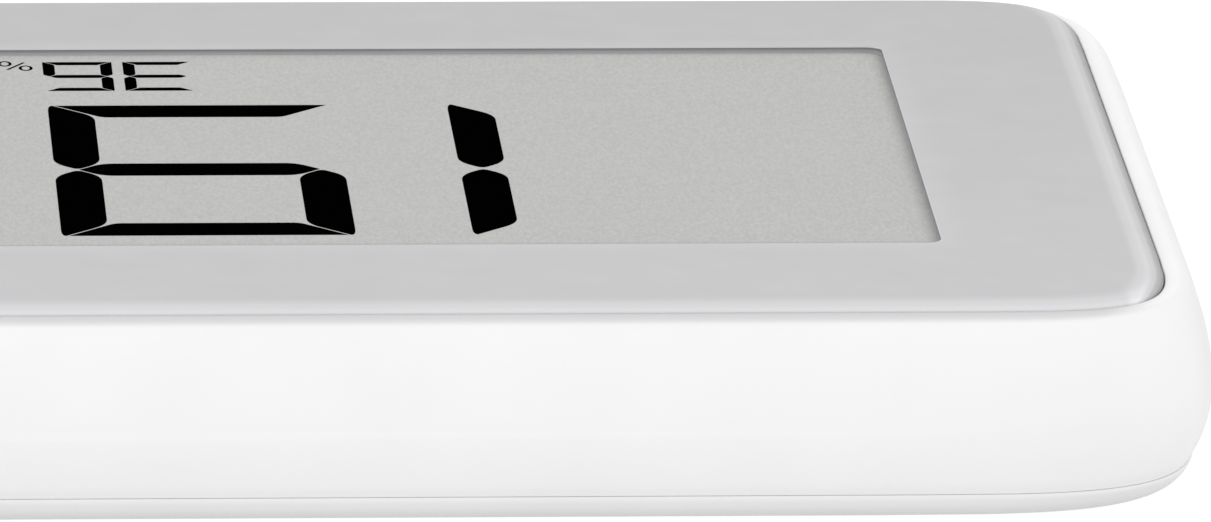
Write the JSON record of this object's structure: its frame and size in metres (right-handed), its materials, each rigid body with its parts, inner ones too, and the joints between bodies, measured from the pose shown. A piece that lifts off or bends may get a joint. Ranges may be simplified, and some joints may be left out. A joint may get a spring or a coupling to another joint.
{
  "type": "carbon dioxide monitor",
  "caption": "Slim desktop air monitor: rounded white case, grey front panel, recessed segment paper display, top button, charging socket and fold-out back stand.",
  "frame": {"origin": "middle of the case's footprint on the plane its corner pads rest on, lying on its back", "axes": "+Z out of the display, +Y towards the display's top edge as it is read, +X towards its right-hand side as it is read"},
  "size_m": [0.1114, 0.0602, 0.0101],
  "materials": {
    "white_shell": "satin white moulding, fine even grain",
    "grey_panel": "satin light grey moulding",
    "paper_face": "matt light grey reflective display film",
    "segment_ink": "matt black segments",
    "backplane": "clear amber film board",
    "flex_film": "amber ribbon film",
    "black_plastic": "matt black moulding",
    "board": "green solder mask",
    "steel": "plated steel",
    "chip": "black moulded package",
    "ferrite": "dark grey ferrite",
    "membrane": "off-white polymer",
    "foam": "black closed-cell foam",
    "pouch": "silver laminate pouch",
    "tape": "cream double-sided tape",
    "red_lead": "red lead sleeve",
    "black_lead": "black lead sleeve",
    "rubber": "grey silicone pad"
  },
  "bodies": {
    "case": {"front_housing": "white_shell", "front_bezel": "grey_panel", "bezel_adhesive": "tape", "display_face": "paper_face", "display_segments": "segment_ink", "display_backplane": "backplane", "main_board": "board", "board_tape": "tape", "display_flex": "flex_film", "flex_connector": "black_plastic", "radio_shield": "steel", "radio_chip": "chip", "clock_crystal": "steel", "power_chip": "chip", "power_inductor": "ferrite", "co2_sensor_can": "steel", "co2_sensor_membrane": "membrane", "co2_sensor_base": "board", "sensor_gasket": "foam", "humidity_sensor": "membrane", "socket_shell": "steel", "socket_tongue": "black_plastic", "switch_body": "chip", "battery_pouch": "pouch", "battery_tape": "tape", "battery_guard_board": "board", "battery_socket": "membrane", "battery_plug": "membrane", "battery_lead_positive": "red_lead", "battery_lead_negative": "black_lead", "rear_cover": "white_shell", "cover_screw_1": "steel", "corner_pad_1": "rubber", "cover_screw_2": "steel", "corner_pad_2": "rubber", "cover_screw_3": "steel", "corner_pad_3": "rubber", "cover_screw_4": "steel", "corner_pad_4": "rubber", "stand_pin": "steel"},
    "button": {"mode_button": "white_shell", "switch_plunger": "membrane"},
    "stand": {"stand_leg": "white_shell", "stand_tip_pad": "rubber"}
  },
  "joints": [
    {"name": "button_press", "type": "slide", "parent": "case", "child": "button", "axis": [0, -1, 0], "range_m": [0, 0.00035], "stiffness_N_per_m": 4000, "springref_m": -0.0001},
    {"name": "stand_hinge", "type": "hinge", "parent": "case", "child": "stand", "pos_m": [0, 0.01, 0.0015], "axis": [1, 0, 0], "range_deg": [0, 45]}
  ]
}
